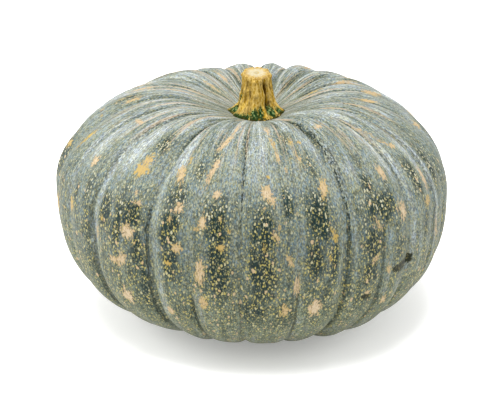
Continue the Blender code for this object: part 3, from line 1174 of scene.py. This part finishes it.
def add_splashes(ground, shader, fine, medium, ragged):
    """Star-like splashes, whose arms, finer teeth and ragged noise move the edge in and out."""
    edge, yellow, size = fields(shader, "splash").parts()
    across, along, arm_turn = fields(shader, "arms").parts()
    angle = along.math("ARCTAN2", across) * (7.0 / math.pi) + arm_turn
    angle = angle + (ragged.sway(3.0) + medium.sway(6.0))
    arm = angle.math("PINGPONG", 1.0)
    tooth = (angle * 2.6).math("PINGPONG", 1.0)
    for pattern, with_size, least in ((arm, 0.55, 0.2), (tooth, 0.25, 0.1), (ragged, 1.6, 1.6)):
        edge = edge + pattern.sway(size * with_size + least)
    edge = edge + medium.sway(2.0)
    splash = edge.rise(0.10, -0.60) * 0.92

    # Tan with ochre rims, cream in the middle of the large ones, and brown blotches.
    tint = yellow + edge.rise(-1.4, -0.2) * 0.25 + fine.sway(0.7)
    color = tint.rise(0.05, 0.95).blend(SPLASH_TAN, SPLASH_OCHRE)
    inner = edge.rise(-0.9, -2.4) * yellow.rise(0.6, 0.2)
    color = inner.blend(color, SPLASH_CREAM)
    color = ragged.rise(0.50, 0.66).blend(color, SPLASH_BROWN)
    return splash.blend(ground, color), splash


def stalk_material():
    """Golden, corky stalk with brown flutes, green between its roots and a creamy cut."""
    material, shader = new_material("stalk")
    unrolled = fields(shader, "unrolled")
    flute, knob, cut = fields(shader, "shape").parts()
    green, gold, face = fields(shader, "zones").parts()
    level = unrolled.parts()[2]
    streaks = unrolled.stretched(0.12).noise(0.95, 2.0, 0.6)
    fibres = unrolled.stretched(0.4).noise(1.7, 3.0, 0.65)
    fine = unrolled.noise(1.1, 3.0, 0.6)
    blotch = unrolled.noise(0.35)

    # Side: gold fibres, brown flutes that deepen with the flute, partly painted shade, green and
    # yellow marks, and dark at the foot, partly painted shade where the stalk meets the rind.
    side = (streaks * 0.55 + fibres * 0.45).rise(0.40, 0.60).blend(CORK_GOLD, CORK_PALE)
    # Brown grows with the flute's depth: partly the cork's colour, partly painted shade in the flutes.
    brown = flute * 0.50 + (streaks.sway(3.2) + fibres.sway(2.4))
    side = brown.rise(0.0, 1.2).blend(side, CORK_BROWN)
    side = side.scaled(blotch.rise(0.35, 0.65) * 0.35 + 0.80)
    leaf = fine.rise(0.52, 0.64).blend(STALK_GREEN, LEAF_GREEN)
    leaf = (fibres.rise(0.60, 0.68) * 0.8).blend(leaf, ROOT_GOLD)
    side = (green + fibres.sway(1.4)).rise(0.30, 0.75).blend(side, leaf)
    root = fibres.rise(0.40, 0.62).blend(CORK_GOLD, ROOT_GOLD)
    side = (gold + fibres.sway(1.4)).rise(0.35, 0.8).blend(side, root)
    # Dark at the foot: partly the foot's edge, partly painted shade where the stalk meets the rind.
    foot = level * -0.5 + fine.sway(3.6)
    side = foot.rise(-1.1, -0.5).blend(side, FOOT_DARK)

    # Cut face: creamy, blotched with ochre, with an ochre rim and a small ring in the middle.
    across = fields(shader, "place")
    speckle = across.noise(0.8, 3.0, 0.7)
    rim = cut + (blotch.sway(0.5) + speckle.sway(1.3))
    rim_color = speckle.rise(0.44, 0.58).blend(CUT_SPOT, CUT_RIM)
    top = rim.rise(0.42, 0.92).blend(CUT_CREAM, rim_color)
    ring = (cut - 0.17).size().rise(0.09, 0.02) * speckle.rise(0.42, 0.55)
    color = face.blend(side, ring.blend(top, CUT_RIM))
    color = (knob + fibres.sway(1.0)).rise(0.30, 0.8).blend(color, KNOB_BROWN)

    relief = streaks * 0.9 + fibres * 0.6 + across.noise(1.6, 3.0) * 0.4
    coat(shader, Base_Color=color, Roughness=0.75)
    coat(shader, Specular_IOR_Level=0.05, Normal=bump(relief, 0.0004))
    return material


def make_floor():
    """A plain white floor, faintly lit from below like a light table."""
    half = FLOOR_HALF_WIDTH
    mesh = bpy.data.meshes.new("floor")
    corners = [(-half, -half, 0.0), (half, -half, 0.0), (half, half, 0.0), (-half, half, 0.0)]
    mesh.from_pydata(corners, [], [(0, 1, 2, 3)])
    material, shader = new_material("floor_white")
    coat(shader, Base_Color=FLOOR_WHITE, Roughness=0.7)
    coat(shader, Emission_Color=WHITE, Emission_Strength=FLOOR_GLOW)
    mesh.materials.append(material)
    add_object("floor", mesh)


def make_lights():
    """White surroundings, and broad soft lights above and at both sides."""
    world = bpy.data.worlds.new("studio")
    bpy.context.scene.world = world
    world.use_nodes = True
    background = world.node_tree.nodes["Background"]
    background.inputs["Color"].default_value = WHITE
    background.inputs["Strength"].default_value = SURROUNDING_LIGHT
    for name, place, size, power in LIGHTS:
        lamp = bpy.data.lights.new(name, "AREA")
        lamp.size = size
        lamp.energy = power
        aim(add_object(name, lamp), Vector(place), Vector(LIGHT_TARGET))


def make_camera(shift):
    """The camera at the photograph's angle and distance."""
    axis = Vector(shift)
    back = Vector((0.0, -math.cos(CAMERA_ELEVATION), math.sin(CAMERA_ELEVATION)))
    right = Vector((1.0, 0.0, 0.0))
    up = back.cross(right)
    pixel = CAMERA_DISTANCE / FOCAL_LENGTH_PIXELS
    across = pixel * (IMAGE_WIDTH / 2.0 - AXIS_PIXEL[0])
    upward = pixel * (AXIS_PIXEL[1] - IMAGE_HEIGHT / 2.0)
    data = bpy.data.cameras.new("camera")
    data.sensor_width = SENSOR_WIDTH_MM
    data.lens = SENSOR_WIDTH_MM * FOCAL_LENGTH_PIXELS / IMAGE_WIDTH
    camera = add_object("camera", data)
    aim(camera, axis + back * CAMERA_DISTANCE, axis + right * across + up * upward)
    bpy.context.scene.camera = camera


def dress(piece, material, node):
    """Give a piece its material and tie it to its solid."""
    piece.data.materials.append(material)
    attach(piece, "root")
    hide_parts(node)


def build():
    """Build the whole scene."""
    bpy.context.scene.view_settings.view_transform = "Standard"
    rind = Rind()
    points = settle(rind.points())
    shift = frame_shift(points)
    fruit_mesh = grid_mesh("rind", points + shift)
    rind.paint_fields(fruit_mesh)
    dress(add_object("rind", fruit_mesh), rind_material(), "fruit")
    dress(make_stalk(shift), stalk_material(), "stem")
    make_floor()
    make_lights()
    make_camera(shift)


build()
